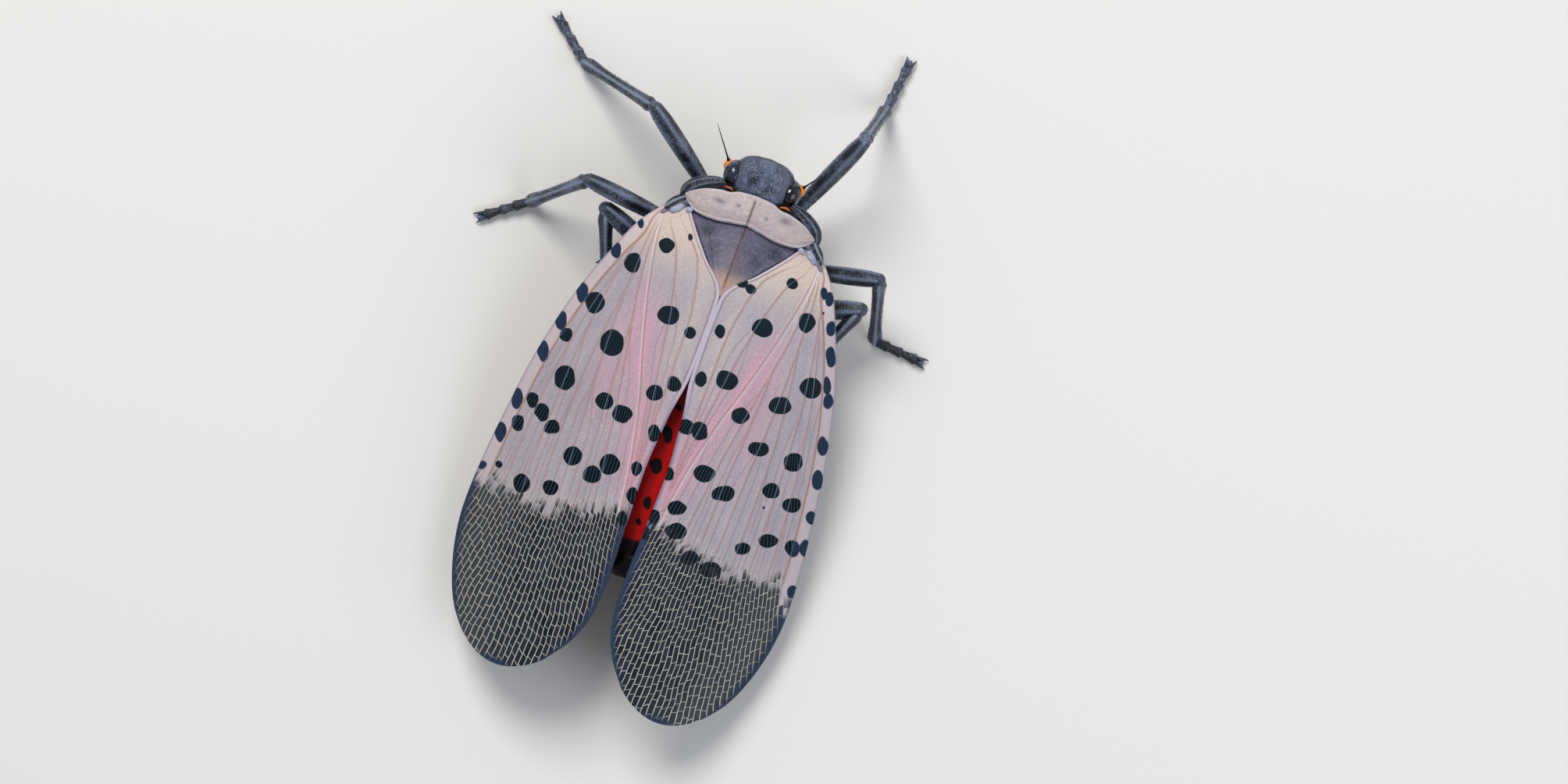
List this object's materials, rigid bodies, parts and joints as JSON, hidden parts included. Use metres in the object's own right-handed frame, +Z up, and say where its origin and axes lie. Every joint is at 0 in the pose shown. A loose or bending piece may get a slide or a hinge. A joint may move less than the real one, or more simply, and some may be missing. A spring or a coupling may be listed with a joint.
{
  "type": "spotted lanternfly, life-size still model",
  "caption": "Life-size spotted lanternfly standing at rest: spotted forewings closed over the back like a low roof, legs spread on the floor, head lowered.",
  "frame": {"origin": "on the floor that the insect stands on, under the middle of its box", "axes": "+Y towards the wing tips, +X towards the insect's left, +Z up"},
  "size_m": [0.0214, 0.0315, 0.0071],
  "materials": {
    "shell": "blue-black cuticle with a grey waxy bloom",
    "eye": "dark, glossy and finely faceted",
    "antenna": "bright orange round pedicel with a thin dark bristle",
    "pronotum": "pale grey-pink, with a dark middle line and faint smudges",
    "mesonotum": "slate grey with a brown middle line and a tan tip",
    "tegula": "blue-grey, mottled",
    "forewing": "grey-pink leathery membrane with blue-black spots and a netted dark end",
    "hindwing": "scarlet membrane with black spots and a dark end",
    "abdomen": "yellow with broad dark bands",
    "leg": "black with a mottled blue-grey bloom"
  },
  "bodies": {
    "root": {"pronotum": "pronotum", "mesonotum": "mesonotum", "head": "shell", "beak": "shell", "eye_left": "eye", "eye_right": "eye", "antenna_left": "antenna", "antenna_right": "antenna", "tegula_left": "tegula", "tegula_right": "tegula", "forewing_left": "forewing", "forewing_right": "forewing", "hindwing_left": "hindwing", "hindwing_right": "hindwing", "thorax": "shell", "abdomen": "abdomen", "coxa_fore_left": "leg", "femur_fore_left": "leg", "tibia_fore_left": "leg", "tarsus_fore_left": "leg", "coxa_fore_right": "leg", "femur_fore_right": "leg", "tibia_fore_right": "leg", "tarsus_fore_right": "leg", "coxa_mid_left": "leg", "femur_mid_left": "leg", "tibia_mid_left": "leg", "tarsus_mid_left": "leg", "coxa_mid_right": "leg", "femur_mid_right": "leg", "tibia_mid_right": "leg", "tarsus_mid_right": "leg", "coxa_hind_left": "leg", "femur_hind_left": "leg", "tibia_hind_left": "leg", "tarsus_hind_left": "leg", "coxa_hind_right": "leg", "femur_hind_right": "leg", "tibia_hind_right": "leg", "tarsus_hind_right": "leg"}
  },
  "joints": []
}
